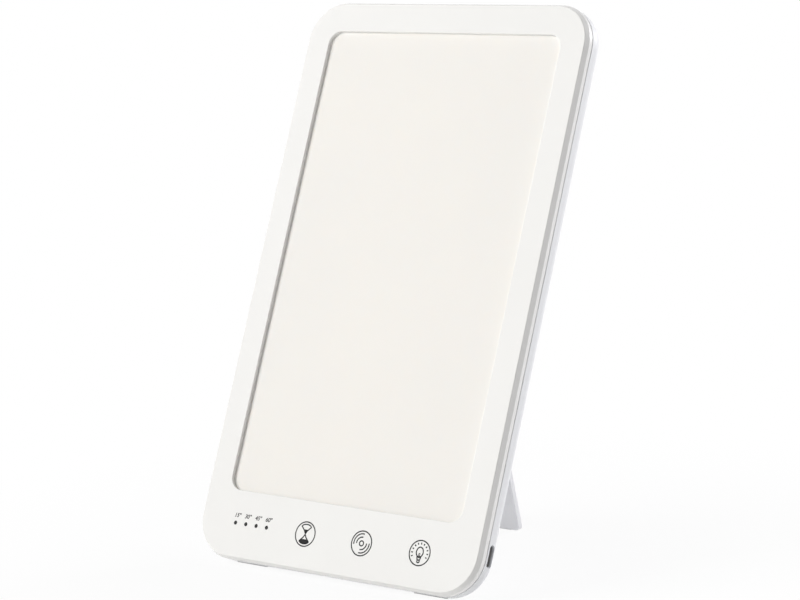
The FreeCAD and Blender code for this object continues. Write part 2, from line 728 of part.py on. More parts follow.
def make_lamp_strips():
    strip_length = stack_top - stack_bottom
    led_room = strip_length - D.LedMargin * 2 - D.LedLength
    led_count = int(led_room.number // D.LedPitch.number) + 1
    for side, name in ((-1, "left"), (1, "right")):
        strip = new_body("led_strip_" + name)
        edges = sorted((side * strip_inner, side * flange_inner), key=number_of)
        board = rectangle(edges[0], edges[1], stack_bottom, stack_top)
        slab(strip, board, D.StripFront, reflector_back)
        keep(strip, "led_strip_" + name)
        lamps = new_body("leds_" + name)
        edges = sorted((side * led_inner, side * strip_inner), key=number_of)
        low = stack_bottom + D.LedMargin
        package = rectangle(edges[0], edges[1], low, low + D.LedLength)
        first = slab(lamps, package, guide_front, guide_back)
        row_of(lamps, first, "Z_Axis", D.LedPitch, led_count)
        keep(lamps, "leds_" + name)


def make_touch_controls():
    board = new_body("touch_board")
    outline = rectangle(touch_board_left, touch_board_right, touch_board_low, touch_board_high)
    slab(board, outline, touch_board_front, touch_board_back)
    keep(board, "touch_board")
    pads = new_body("touch_pads")
    slab(pads, discs(button_places, D.PadDiameter), D.FrontWall, touch_board_front)
    keep(pads, "touch_pads")
    windows = new_body("timer_windows")
    slab(windows, discs(timer_places, D.TimerDiameter), 0, D.TimerLensDepth)
    keep(windows, "timer_windows")
    lamps = new_body("timer_leds")
    half = D.TimerLedWidth / 2
    across, up = timer_places[0]
    package = rectangle(across - half, across + half, up - half, up + half)
    first = slab(lamps, package, touch_board_front - D.TimerLedDepth, touch_board_front)
    row_of(lamps, first, "X_Axis", D.TimerPitch, len(timer_places))
    keep(lamps, "timer_leds")


def block(name, left, right, front, back, bottom, top):
    """A plain box between the given faces."""
    left, right, front, back, bottom, top = map(as_size, (left, right, front, back, bottom, top))
    made = doc.addObject("Part::Box", name)
    made.setExpression("Length", (right - left).text)
    made.setExpression("Width", (back - front).text)
    made.setExpression("Height", (top - bottom).text)
    local = FreeCAD.Placement(Vector(left.number, front.number, bottom.number), FreeCAD.Rotation())
    return made, local


def make_main_board():
    board = new_body("main_board")
    notch_half = D.CoverBossDiameter / 2 + D.MainBoardNotchGap
    notch_left = cover_screw_across - notch_half
    notch_right = cover_screw_across + notch_half
    notch_bottom = cover_screw_low - notch_half
    outline = polygon([
        (main_board_left, main_board_bottom),
        (main_board_right - D.MainBoardCorner, main_board_bottom),
        (main_board_right, main_board_bottom + D.MainBoardCorner),
        (main_board_right, main_board_top),
        (notch_right, main_board_top),
        (notch_right, notch_bottom),
        (notch_left, notch_bottom),
        (notch_left, main_board_top),
        (main_board_left, main_board_top)])
    slab(board, outline, main_board_front, main_board_back)
    cut(board, discs(board_screw_places, D.BoardScrewDiameter), main_board_front, main_board_back)
    keep(board, "main_board")


def make_board_parts():
    for name, across, up, width, height, depth in BOARD_BLOCKS:
        left = main_board_left + across
        bottom = main_board_bottom + up
        made, local = block(
            name, left, left + width, main_board_back, main_board_back + depth,
            bottom, bottom + height)
        keep(made, name, local)
    across, up, width, height, depth, spacing = CAPACITOR_ROW
    capacitors = new_body("capacitors")
    left = main_board_left + across
    bottom = main_board_bottom + up
    outline = rectangle(left, left + width, bottom, bottom + height)
    first = slab(capacitors, outline, main_board_back, main_board_back + depth)
    row_of(capacitors, first, "X_Axis", as_size(spacing), CAPACITOR_COUNT)
    keep(capacitors, "capacitors")
    across, width, height = BOARD_CONNECTOR
    left = main_board_left + across
    bottom = D.ControlHeight - height / 2
    made, local = block(
        "board_connector", left, left + width, touch_board_back, main_board_front,
        bottom, bottom + height)
    keep(made, "board_connector", local)


def make_usb_socket():
    mouth = half_width - D.PortRecess
    rear = mouth - D.SocketDepth
    half_up = D.PortLength / 2 - D.PortClearance
    hollow_rear = rear + D.SocketBack
    socket = new_body("usb_socket")
    bar(socket, stadium(D.PortCentre, D.PortHeight, socket_half, half_up), rear, mouth)
    hollow = stadium(
        D.PortCentre, D.PortHeight, socket_half - D.SocketWall, half_up - D.SocketWall)
    side_cut(socket, hollow, hollow_rear, mouth)
    keep(socket, "usb_socket")
    tongue = new_body("usb_tongue")
    half_thick = D.SocketTongueThickness / 2
    half_long = D.SocketTongueLength / 2
    outline = rectangle(
        D.PortCentre - half_thick, D.PortCentre + half_thick,
        D.PortHeight - half_long, D.PortHeight + half_long)
    bar(tongue, outline, hollow_rear, mouth - D.SocketTongueRecess)
    keep(tongue, "usb_tongue")


def fillet_path(points, radius):
    """A path of straight runs joined by arcs of one radius."""
    edges = []
    start = points[0]
    for before, corner, after in zip(points, points[1:], points[2:]):
        inward = (before - corner).normalize()
        outward = (after - corner).normalize()
        half_turn = math.acos(max(-1.0, min(1.0, inward.dot(outward)))) / 2
        back_off = radius / math.tan(half_turn)
        middle = (inward + outward).normalize()
        centre = corner + middle * (radius / math.sin(half_turn))
        arc_start = corner + inward * back_off
        arc_end = corner + outward * back_off
        arc_middle = centre - middle * radius
        edges.append(Part.LineSegment(start, arc_start).toShape())
        edges.append(Part.Arc(arc_start, arc_middle, arc_end).toShape())
        start = arc_end
    edges.append(Part.LineSegment(start, points[-1]).toShape())
    return Part.Wire(edges)


def flat_lead(name, places, front):
    """A flat lead on edge: a thin profile swept along a path in a plane square to Y."""
    middle = front.number + D.RibbonWidth.number / 2
    points = [Vector(number_of(across), middle, number_of(up)) for across, up in places]
    path = fillet_path(points, D.RibbonBend.number)
    thick = D.RibbonThickness.number
    wide = D.RibbonWidth.number
    along = (points[1] - points[0]).normalize()
    aside = along.cross(Vector(0, 1, 0)).normalize()
    corners = [
        points[0] + aside * (a * thick / 2) + Vector(0, b * wide / 2, 0)
        for a, b in ((-1, -1), (1, -1), (1, 1), (-1, 1), (-1, -1))]
    solid = path.makePipeShell([Part.makePolygon(corners)], True, False)
    lead = doc.addObject("Part::Feature", name)
    lead.Shape = solid
    keep(lead, name)


def make_strip_leads():
    """Flat leads from the lamp strips' lower ends to two plugs on the main board."""
    strip_middle = strip_inner + D.StripThickness / 2
    lead_height = stack_bottom - D.RibbonDrop
    behind_board = touch_board_high - D.RibbonBend
    plug_front = main_board_back
    plug_middle = main_board_bottom + D.LeftPlugUp
    left_plug = main_board_left + D.LeftPlugAcross
    turn = main_board_left - D.RibbonBend * 2
    flat_lead("led_ribbon_left", [
        (-strip_middle, stack_bottom), (-strip_middle, behind_board), (turn, behind_board),
        (turn, plug_middle), (left_plug, plug_middle)], plug_front)
    right_plug = strip_middle - D.RightPlugAcross
    plug_top = lead_height - D.RightPlugDown
    flat_lead("led_ribbon_right", [
        (strip_middle, stack_bottom), (strip_middle, lead_height), (right_plug, lead_height),
        (right_plug, plug_top)], plug_front)
    plugs = new_body("ribbon_connectors")
    half = D.PlugWidth / 2
    plug_back = plug_front + D.PlugDepth
    left_outline = rectangle(
        left_plug, left_plug + D.PlugLength, plug_middle - half, plug_middle + half)
    slab(plugs, left_outline, plug_front, plug_back)
    right_outline = rectangle(
        right_plug - half, right_plug + half, plug_top - D.PlugLength, plug_top)
    slab(plugs, right_outline, plug_front, plug_back)
    keep(plugs, "ribbon_connectors")


def upright_cylinder(name, diameter, front, back, place):
    """A cylinder along Y between two depths."""
    made = doc.addObject("Part::Cylinder", name)
    made.setExpression("Radius", (diameter / 2).text)
    made.setExpression("Height", (back - front).text)
    start = Vector(number_of(place[0]), front.number, number_of(place[1]))
    made.Placement = FreeCAD.Placement(start, FreeCAD.Rotation(Vector(1, 0, 0), -90))
    return made


def slot_box(name, length, width, front, back, place):
    made = doc.addObject("Part::Box", name)
    made.setExpression("Length", length.text)
    made.setExpression("Width", (back - front).text)
    made.setExpression("Height", width.text)
    corner = Vector(
        number_of(place[0]) - length.number / 2, front.number,
        number_of(place[1]) - width.number / 2)
    made.Placement = FreeCAD.Placement(corner, FreeCAD.Rotation())
    return made


def screws(name, places, shank, head, head_depth, tip, seat):
    """Pan-head screws whose heads sit on a seat, with a cross slot facing backwards."""
    made = []
    for number, place in enumerate(places):
        label = "%s_%d" % (name, number)
        top = seat + head_depth
        stem = upright_cylinder(label + "_stem", shank, tip, seat, place)
        cap = upright_cylinder(label + "_head", head, seat, top, place)
        whole = doc.addObject("Part::MultiFuse", label + "_whole")
        whole.Shapes = [stem, cap]
        reach = head * D.SlotReach
        floor = top - D.SlotDepth
        slots = doc.addObject("Part::MultiFuse", label + "_slots")
        slots.Shapes = [
            slot_box(label + "_flat", reach, D.SlotWidth, floor, top, place),
            slot_box(label + "_tall", D.SlotWidth, reach, floor, top, place)]
        screw = doc.addObject("Part::Cut", label)
        screw.Base = whole
        screw.Tool = slots
        made.append(screw)
    group = doc.addObject("Part::Compound", name)
    group.Links = made
    keep(group, name)


def make_screws():
    screws(
        "cover_screws", cover_screw_places, D.CoverScrewDiameter, D.CoverScrewHead,
        D.CoverScrewHeadDepth, D.CoverScrewTip, D.CoverScrewSeat)
    screws(
        "board_screws", board_screw_places, D.BoardScrewDiameter, D.BoardScrewHead,
        D.BoardScrewHeadDepth, main_board_front - D.BoardScrewHold, main_board_back)


# The leg and what turns with it are drawn folded, with the pivot at the origin

def leg_end(across, shortening):
    """Height of the leg's slanting end, which lies flat on the floor once the leg is open."""
    return -(D.LegReach - shortening) - across * tangent(leg_slant)


def make_stand_leg():
    body = new_body("stand_leg")
    short = D.LegPadProud
    plate = polygon([
        (leg_front, leg_end(leg_front, short)),
        (barrel_radius, leg_end(barrel_radius, short)),
        (barrel_radius, heel_length),
        (leg_front, heel_length)])
    blank = bar(body, plate, -leg_half, leg_half)
    tip = (-D.LegReach + D.LegThickness).number

    def on_lower_corner(p):
        return near(abs(p.x), leg_half) and p.z < tip

    blank = fillet(body, blank, on_lower_corner, D.LegCornerRadius)

    fillet(body, blank, lambda p: near(p.y, barrel_radius), D.LegEdgeRadius)
    bar(body, discs([(0, 0)], D.BarrelDiameter), -leg_half, leg_half)
    bore = D.PinDiameter + D.PinClearance * 2
    hold = D.PinHold + D.RecessSide
    side_cut(body, discs([(0, 0)], bore), -leg_half, hold - leg_half)
    side_cut(body, discs([(0, 0)], bore), leg_half - hold, leg_half)
    pad_half = leg_half - D.LegPadSide
    side_cut(body, leg_pad_profile(short - D.CutBeyond), -pad_half, pad_half)
    keep(body, "stand_leg", leg_place())


def leg_pad_profile(shortening):
    middle = barrel_radius - D.LegThickness / 2
    low = middle - D.LegPadThickness / 2
    high = middle + D.LegPadThickness / 2
    inner = -(D.LegReach - D.LegPadHold)
    return polygon([
        (low, leg_end(low, shortening)), (high, leg_end(high, shortening)),
        (high, inner), (low, inner)])


def make_leg_foot_pad():
    body = new_body("leg_foot_pad")
    pad_half = leg_half - D.LegPadSide
    bar(body, leg_pad_profile(as_size(0)), -pad_half, pad_half)
    keep(body, "leg_foot_pad", leg_place())


def make_hinge_pins():
    body = new_body("hinge_pins")
    ear_outer = recess_half + D.PinHold
    inner = leg_half - D.PinHold
    pivot = discs([(pivot_depth, D.PivotHeight)], D.PinDiameter)
    bar(body, pivot, -ear_outer, -inner)
    bar(body, pivot, inner, ear_outer)
    keep(body, "hinge_pins")


def leg_place():
    """The open leg: swung backwards about its pivot."""
    pivot = Vector(0, pivot_depth.number, D.PivotHeight.number)
    return FreeCAD.Placement(pivot, FreeCAD.Rotation(Vector(1, 0, 0), open_angle.number))


def stand_up():
    """Lean every sub-part back and centre the whole on the origin, with its feet on Z = 0."""
    doc.recompute()
    turn = FreeCAD.Rotation(Vector(1, 0, 0), -lean.number)
    leaning = FreeCAD.Placement(Vector(0, 0, -floor_drop.number), turn)
    for piece, name, local in sub_parts:
        piece.Placement = leaning.multiply(local)
    doc.recompute()
    boxes = [piece.Shape.optimalBoundingBox(False) for piece, name, local in sub_parts]
    front = min(box.YMin for box in boxes)
    back = max(box.YMax for box in boxes)
    centred = FreeCAD.Placement(Vector(0, -(front + back) / 2, 0), FreeCAD.Rotation())
    for piece, name, local in sub_parts:
        piece.Placement = centred.multiply(leaning).multiply(local)
    doc.recompute()
    return centred.multiply(leaning)


def check():
    for item in doc.Objects:
        for state in item.State:
            if state in ("Invalid", "Error"):
                raise RuntimeError("%s (%s) is %s" % (item.Label, item.Name, state))
    for piece, name, local in sub_parts:
        if piece.Shape.isNull() or not piece.Shape.isValid():
            raise RuntimeError("%s has no valid shape" % name)


def main():
    make_front_bezel()
    make_rear_cover()
    make_foot_pads()
    make_light_stack()
    make_back_plate()
    make_lamp_strips()
    make_touch_controls()
    make_main_board()
    make_board_parts()
    make_usb_socket()
    make_strip_leads()
    make_screws()
    make_stand_leg()
    make_leg_foot_pad()
    make_hinge_pins()
    leaning = stand_up()
    check()
    os.makedirs("parts", exist_ok=True)
    for piece, name, local in sub_parts:
        piece.Shape.exportStep("parts/%s.step" % name)
        count = len(piece.Shape.Solids)
        print("%-18s %2d solids %10.1f mm3" % (name, count, piece.Shape.Volume))
    pivot = leaning.multVec(Vector(0, pivot_depth.number, D.PivotHeight.number))
    print("lean %.2f degrees, pivot at %.3f %.3f" % (lean.number, pivot.y, pivot.z))


main()
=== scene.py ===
# %% [markdown]
# # A light therapy lamp, dressed in Blender
#
# The lamp is a thin white tablet that leans back on one fold-out leg. Its solids were designed
# in CAD and packed, so Blender does not invent any size here. This lesson loads that packed
# model, gives each piece the finish of the real thing, prints the icons and numbers on the
# front, and sets up a plain studio. It can be run cell by cell.

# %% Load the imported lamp
import json
import math

import bmesh
import bpy
from mathutils import Matrix, Vector


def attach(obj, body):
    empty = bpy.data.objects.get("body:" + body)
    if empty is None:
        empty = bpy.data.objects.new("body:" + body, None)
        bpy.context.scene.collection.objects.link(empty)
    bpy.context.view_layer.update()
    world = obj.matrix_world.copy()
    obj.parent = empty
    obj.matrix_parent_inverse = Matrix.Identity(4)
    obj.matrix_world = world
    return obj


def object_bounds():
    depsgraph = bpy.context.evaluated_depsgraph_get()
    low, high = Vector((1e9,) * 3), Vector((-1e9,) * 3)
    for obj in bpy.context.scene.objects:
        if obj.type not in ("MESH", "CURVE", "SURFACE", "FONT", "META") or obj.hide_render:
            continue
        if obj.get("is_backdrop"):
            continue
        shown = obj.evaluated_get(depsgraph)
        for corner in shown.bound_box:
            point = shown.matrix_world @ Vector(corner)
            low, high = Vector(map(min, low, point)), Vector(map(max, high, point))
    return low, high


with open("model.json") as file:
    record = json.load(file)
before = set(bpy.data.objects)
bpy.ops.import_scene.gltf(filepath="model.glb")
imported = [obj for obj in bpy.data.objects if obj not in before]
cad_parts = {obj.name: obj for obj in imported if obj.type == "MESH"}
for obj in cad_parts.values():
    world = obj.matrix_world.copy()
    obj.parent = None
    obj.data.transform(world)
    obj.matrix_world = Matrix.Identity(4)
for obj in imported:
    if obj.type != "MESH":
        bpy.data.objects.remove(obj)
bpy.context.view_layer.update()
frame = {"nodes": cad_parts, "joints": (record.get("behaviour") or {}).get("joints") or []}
nodes = frame["nodes"]

# %% [markdown]
# ## Two sets of directions
#
# The designer drew the panel in its own directions: X to the right, Y backwards from the front
# face, and Z up along the panel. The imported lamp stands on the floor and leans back. Prints are
# easiest to place in the panel's own millimetres, so one matrix takes them to the standing lamp
# in metres. It needs only the lean, and one point known in both: the leg's pivot.

# %% From the panel's millimetres to the standing lamp
MM = 0.001
LEAN = math.radians(24.0178)
PIVOT_ON_PANEL = Vector((0, 10.3, 150.55)) * MM
pivot = Vector(frame["joints"][0]["pos_m"])

lean_back = Matrix.Rotation(-LEAN, 4, "X")
shift = Matrix.Translation(pivot - lean_back @ PIVOT_ON_PANEL)
panel_to_lamp = shift @ lean_back @ Matrix.Scale(MM, 4)
front_foot = panel_to_lamp @ Vector((0, 0, 0))
print("the front face's lower edge, in mm:", [round(v / MM, 2) for v in front_foot])

# %% [markdown]
# ## The camera
#
# The photograph looks at the lamp from its right and slightly from above, with a long lens, so
# the panel's edges stay nearly parallel. A camera can be aimed with a constraint or by angles.
# Here its place and axes are written out, because the photograph also has a small roll. They are
# in the panel's directions, since it was the panel's four edges that told where the camera was.

# %% Aim the camera as in the photograph
CAMERA_AT = Vector((668.36, -840.76, -50.27))
CAMERA_FORWARD = Vector((-0.61095, 0.77699, 0.15176))
CAMERA_RIGHT = Vector((0.78838, 0.57897, 0.20796))
SENSOR_MM, LENS_MM = 36, 121.0
NEAREST = 0.01

camera_data = bpy.data.cameras.new("portrait_camera")
camera_data.sensor_width = SENSOR_MM
camera_data.lens = LENS_MM
camera_data.clip_start = NEAREST
camera = bpy.data.objects.new("portrait_camera", camera_data)
bpy.context.scene.collection.objects.link(camera)

forward = (lean_back @ CAMERA_FORWARD).normalized()
aside = lean_back @ CAMERA_RIGHT
right = (aside - forward * aside.dot(forward)).normalized()
up = right.cross(forward)
axes = Matrix((right, up, -forward)).transposed().to_4x4()
camera.matrix_world = Matrix.Translation(panel_to_lamp @ CAMERA_AT) @ axes
bpy.context.scene.camera = camera
print("camera to the lamp's foot, in mm:", round((camera.location - front_foot).length / MM))

# %% [markdown]
# ## Tools for the finishes
#
# Colours are easiest to name as they look on a screen, which is sRGB, while shaders count in
# linear light, so one function turns one into the other. Node materials can be built by hand in
# the editor or in code. In code, one small function that adds a node, sets it and links it
# keeps each recipe short enough to read. A second one tells the rays that make the picture from
# those that only carry light, which the paper and the room need later.

# %% Colours, nodes and scales


def linear(code):
    """The linear colour of an sRGB hex code such as #F2F2F0."""
    shares = [int(code[place:place + 2], 16) / 255 for place in (1, 3, 5)]
    levels = [s / 12.92 if s <= 0.04045 else ((s + 0.055) / 1.055) ** 2.4 for s in shares]
    return (*levels, 1.0)


def add(tree, kind, inputs, **settings):
    """Add one node. Its inputs, by name or by number, take plain values or other outputs."""
    made = tree.nodes.new(kind)
    for name, value in settings.items():
        setattr(made, name, value)
    for name, value in inputs.items():
        if isinstance(value, bpy.types.NodeSocket):
            tree.links.new(value, made.inputs[name])
        else:
            made.inputs[name].default_value = value
    return made


def per_metre(size_in_mm):
    """The scale at which a noise has features of about that many millimetres."""
    return 1 / (size_in_mm * MM)


def is_seen(tree):
    """1 for rays from the camera, from a mirror image or through glass, and 0 for all others."""
    rays = add(tree, "ShaderNodeLightPath", {}).outputs
    seen = rays["Is Camera Ray"]
    for kind in ("Is Glossy Ray", "Is Transmission Ray"):
        seen = add(tree, "ShaderNodeMath", {0: seen, 1: rays[kind]}, operation="MAXIMUM").outputs[0]
    return seen


# A Mix node keeps its colours on these sockets, after those for numbers and vectors
MIX_A, MIX_B, MIX_COLOUR = 6, 7, 2
print("mid grey #808080 is", round(linear("#808080")[0], 3), "in linear light")

# %% [markdown]
# ## One recipe for moulded, pressed and rolled surfaces
#
# No real surface has one colour and one gloss all over. Plastic flows in the mould and its tint
# drifts over some centimetres, handling leaves uneven polish, and the tool or the rolling mill
# leaves a grain. The recipe could be copied for each material. A function is better here,
# because only the colours and the sizes in millimetres differ from one substance to the next.

# %% The recipe
DRIFT_DETAIL = 2.0
GRAIN_DETAIL = 3.0


def surface(name, pale, deep, polish, ior, drift_mm, grain_mm, depth_mm,
            metallic=0.0, stretch=(1, 1, 1)):
    """A finish whose tint and polish drift slowly and whose grain has a real depth."""
    material = bpy.data.materials.new(name)
    material.use_nodes = True
    tree = material.node_tree
    shader = tree.nodes["Principled BSDF"]
    shader.inputs["IOR"].default_value = ior
    shader.inputs["Metallic"].default_value = metallic
    place = add(tree, "ShaderNodeTexCoord", {}).outputs["Object"]
    along = add(tree, "ShaderNodeMapping", {"Vector": place, "Scale": stretch}).outputs["Vector"]
    drift = add(tree, "ShaderNodeTexNoise",
                {"Vector": place, "Scale": per_metre(drift_mm), "Detail": DRIFT_DETAIL})
    tint = add(tree, "ShaderNodeMix",
               {"Factor": drift.outputs["Fac"], MIX_A: linear(pale), MIX_B: linear(deep)},
               data_type="RGBA")
    tree.links.new(tint.outputs[MIX_COLOUR], shader.inputs["Base Color"])
    grain = add(tree, "ShaderNodeTexNoise",
                {"Vector": along, "Scale": per_metre(grain_mm), "Detail": GRAIN_DETAIL})
    gloss = add(tree, "ShaderNodeMapRange",
                {"Value": drift.outputs["Fac"], "To Min": polish[0], "To Max": polish[1]})
    tree.links.new(gloss.outputs["Result"], shader.inputs["Roughness"])
    bump = add(tree, "ShaderNodeBump", {"Height": grain.outputs["Fac"], "Distance": depth_mm * MM})
    tree.links.new(bump.outputs["Normal"], shader.inputs["Normal"])
    return material


def cover_node(material, *names):
    """Give CAD nodes a finish without touching their meshes."""
    for name in names:
        nodes[name].material_slots[0].material = material
    print(material.name, "on", ", ".join(names))


# %% [markdown]
# ## White ABS, from a polished and from a sparked mould
#
# Both shells and the leg are white ABS. The bezel comes from a polished mould: its gloss is
# soft, and as the plastic cools it shrinks into a very shallow waviness called orange peel. The
# rear cover comes from a mould whose steel was roughened by sparks, which hides sink marks over
# the ribs and gives grip. The leg is satin, and its white is drawn a little paler than the
# shells': that is painted light, which lifts its front face where it stands in the panel's shade.
# The spark grain is 0.2 mm on the real tool and is drawn at 0.7 mm, because a finer one would
# not show in the picture.

# %% White shells and leg
bezel_abs = surface("abs_moulded_polished_white", "#F3F2EF", "#EFEEEB", (0.20, 0.28), 1.54,
                    drift_mm=45, grain_mm=3.0, depth_mm=0.004)
cover_abs = surface("abs_moulded_sparked_white", "#EEEEEF", "#E9EAEB", (0.40, 0.50), 1.54,
                    drift_mm=40, grain_mm=0.7, depth_mm=0.010)
# The leg's paler white is painted light: it brightens its front face, which lies in shade under the
# panel.
leg_abs_painted_lift = surface("abs_satin_white_painted_lift", "#F4F4F5", "#EFEFF1", (0.32, 0.40), 1.54,
                  drift_mm=30, grain_mm=1.1, depth_mm=0.005)
cover_node(bezel_abs, "front_bezel")
cover_node(cover_abs, "rear_cover")
cover_node(leg_abs_painted_lift, "stand_leg")

# %% [markdown]
# ## Opal acrylic for the light window
#
# The window is an extruded sheet of opal acrylic. White pigment all through it scatters the
# LEDs' light, so light also enters and leaves it a millimetre or two away, which softens every
# shadow on it. Its face is matt, so that it does not mirror the user. Plain diffuse white would
# give hard shadows beside the frame, so the sheet gets subsurface scattering with a reach of
# about a millimetre, and two faint tints that drift over several centimetres.

# %% The diffuser sheet
OPAL_SHARE = 0.35
OPAL_REACH_MM = 1.2
OPAL_REACH_BY_COLOUR = (1.0, 0.9, 0.8)

opal = surface("pmma_extruded_opal", "#F6F2EB", "#F0EEEA", (0.42, 0.52), 1.49,
               drift_mm=70, grain_mm=0.9, depth_mm=0.003)
opal_shader = opal.node_tree.nodes["Principled BSDF"]
opal_shader.inputs["Subsurface Weight"].default_value = OPAL_SHARE
opal_shader.inputs["Subsurface Radius"].default_value = OPAL_REACH_BY_COLOUR
opal_shader.inputs["Subsurface Scale"].default_value = OPAL_REACH_MM * MM
cover_node(opal, "diffuser_panel")

# %% [markdown]
# ## The clear and white sheets behind it
#
# Behind the opal sheet lie a prism film, the light guide and a white foam reflector. The film
# is pressed with fine ridges, the guide is clear acrylic with printed white dots, and the foam
# is a dense matt white. They are hidden, so simple glass would do, but the ridges and the dots
# are what make these sheets work. A wave texture gives the ridges and a Voronoi texture gives
# the dots. Real ridges are 0.05 mm apart and are drawn at 0.6 mm, so that they show.

# %% Film, light guide and reflector
RIDGE_MM = 0.6
# At a scale of 1, the bands of Blender's wave texture repeat after this length
WAVE_PERIOD = math.tau / 20
RIDGE_DEPTH_MM = 0.05
FILM_CLEARNESS = 0.7
DOT_PITCH_MM = 2.4
DOT_SHARE, DOT_EDGE = 0.28, 0.04

prism_film = surface("pet_pressed_prism_film", "#F4F7F8", "#EEF2F4", (0.16, 0.24), 1.57,
                     drift_mm=50, grain_mm=1.5, depth_mm=0.002)
tree = prism_film.node_tree
tree.nodes["Principled BSDF"].inputs["Transmission Weight"].default_value = FILM_CLEARNESS
place = add(tree, "ShaderNodeTexCoord", {}).outputs["Object"]
ridges = add(tree, "ShaderNodeTexWave",
             {"Vector": place, "Scale": per_metre(RIDGE_MM) * WAVE_PERIOD},
             bands_direction="X", wave_profile="TRI")
ridge_bump = add(tree, "ShaderNodeBump",
                 {"Height": ridges.outputs["Fac"], "Distance": RIDGE_DEPTH_MM * MM})
tree.links.new(ridge_bump.outputs["Normal"], tree.nodes["Principled BSDF"].inputs["Normal"])

guide = surface("pmma_cast_clear_guide", "#F2F6F6", "#EAF1F2", (0.05, 0.09), 1.49,
                drift_mm=60, grain_mm=4.0, depth_mm=0.002)
tree = guide.node_tree
shader = tree.nodes["Principled BSDF"]
place = add(tree, "ShaderNodeTexCoord", {}).outputs["Object"]
dots = add(tree, "ShaderNodeTexVoronoi",
           {"Vector": place, "Scale": per_metre(DOT_PITCH_MM), "Randomness": 0.0})
clear = add(tree, "ShaderNodeMapRange",
            {"Value": dots.outputs["Distance"], "From Min": DOT_SHARE,
             "From Max": DOT_SHARE + DOT_EDGE})
tree.links.new(clear.outputs["Result"], shader.inputs["Transmission Weight"])

foam = surface("pet_foamed_white", "#FAFAF9", "#F5F5F4", (0.75, 0.85), 1.45,
               drift_mm=35, grain_mm=0.5, depth_mm=0.008)
cover_node(prism_film, "brightness_film")
cover_node(guide, "light_guide")
cover_node(foam, "reflector_sheet")

# %% [markdown]
# ## Metals
#
# The tray is rolled aluminium, so its grain runs one way: the same noise is stretched along the
# panel's width by scaling one direction of its coordinates down. Screws and hinge pins are steel
# with bright zinc, whose crystals show as small dull and bright flecks. The port's shell is
# drawn stainless steel. The touch pads are bare copper and the port's contacts are gold-plated.

# %% Aluminium, steel, copper and gold
tray_metal = surface("aluminium_rolled", "#D3D5D8", "#C6C9CD", (0.30, 0.44), 1.5,
                     drift_mm=18, grain_mm=0.8, depth_mm=0.006, metallic=1.0,
                     stretch=(0.06, 1, 1))
screw_metal = surface("steel_bright_zinc", "#C9CDD2", "#B4B9BF", (0.24, 0.40), 1.5,
                      drift_mm=1.4, grain_mm=0.4, depth_mm=0.004, metallic=1.0)
port_metal = surface("stainless_steel_drawn", "#D2D4D6", "#C4C6C9", (0.50, 0.62), 1.5,
                     drift_mm=3, grain_mm=0.5, depth_mm=0.003, metallic=1.0,
                     stretch=(0.15, 1, 1))
pad_copper = surface("copper_etched", "#D08A5E", "#C07A52", (0.28, 0.42), 1.5,
                     drift_mm=4, grain_mm=0.5, depth_mm=0.003, metallic=1.0)
contact_gold = surface("gold_plated_copper", "#E9C46E", "#DDB55C", (0.18, 0.26), 1.5,
                       drift_mm=1, grain_mm=0.3, depth_mm=0.001, metallic=1.0)
cover_node(tray_metal, "back_plate")
cover_node(screw_metal, "board_screws", "cover_screws", "hinge_pins")
cover_node(port_metal, "usb_socket")
cover_node(pad_copper, "touch_pads")

# %% [markdown]
# ## Small plastic and rubber parts
#
# The timer windows are smoked polycarbonate, nearly black until the LED behind one lights. The
# port's tongue is a grey liquid-crystal polymer, the lead connectors are ivory nylon, and the
# feet are a white thermoplastic rubber with a dry, dull face. The inks of the front print are
# epoxy: they dry almost matt and stand a few hundredths of a millimetre proud.

# %% Windows, plastics, rubber and ink
smoked = surface("polycarbonate_smoked", "#0D0D0F", "#121214", (0.10, 0.16), 1.585,
                 drift_mm=3, grain_mm=1.0, depth_mm=0.001)
tongue_polymer = surface("lcp_moulded_grey", "#8B8C8E", "#7F8083", (0.45, 0.55), 1.6,
                         drift_mm=2, grain_mm=0.5, depth_mm=0.006)
nylon = surface("nylon_moulded_ivory", "#E9E3D2", "#E1DAC6", (0.42, 0.52), 1.53,
                drift_mm=4, grain_mm=0.5, depth_mm=0.006)
rubber = surface("tpe_rubber_white", "#E9E9E8", "#E1E1E0", (0.70, 0.82), 1.5,
                 drift_mm=8, grain_mm=0.6, depth_mm=0.015)
ink = surface("epoxy_ink_black", "#0C0C0D", "#121213", (0.50, 0.62), 1.5,
              drift_mm=3, grain_mm=0.4, depth_mm=0.002)
cover_node(smoked, "timer_windows")
cover_node(tongue_polymer, "usb_tongue")
cover_node(nylon, "ribbon_connectors", "board_connector")
cover_node(rubber, "foot_pad_left", "foot_pad_right", "leg_foot_pad")

# %% [markdown]
# ## Circuit boards and their parts
#
# Boards are glass-filled epoxy under a coloured lacquer, the solder mask. Copper tracks show
# through the mask as paler lines that turn at right angles. A drawn circuit would be lost
# inside the closed shells, and a Voronoi texture that measures distance along the axes gives
# the same stepped look from one node. The chips are black moulded epoxy, the inductor is pressed
# ferrite, and the LEDs are white packages filled with yellow phosphor.

# %% Boards, chips and LEDs
TRACK_MM = 3.2
TRACKS_PER_CELL = 6.0
TRACK_SHARE = 0.3


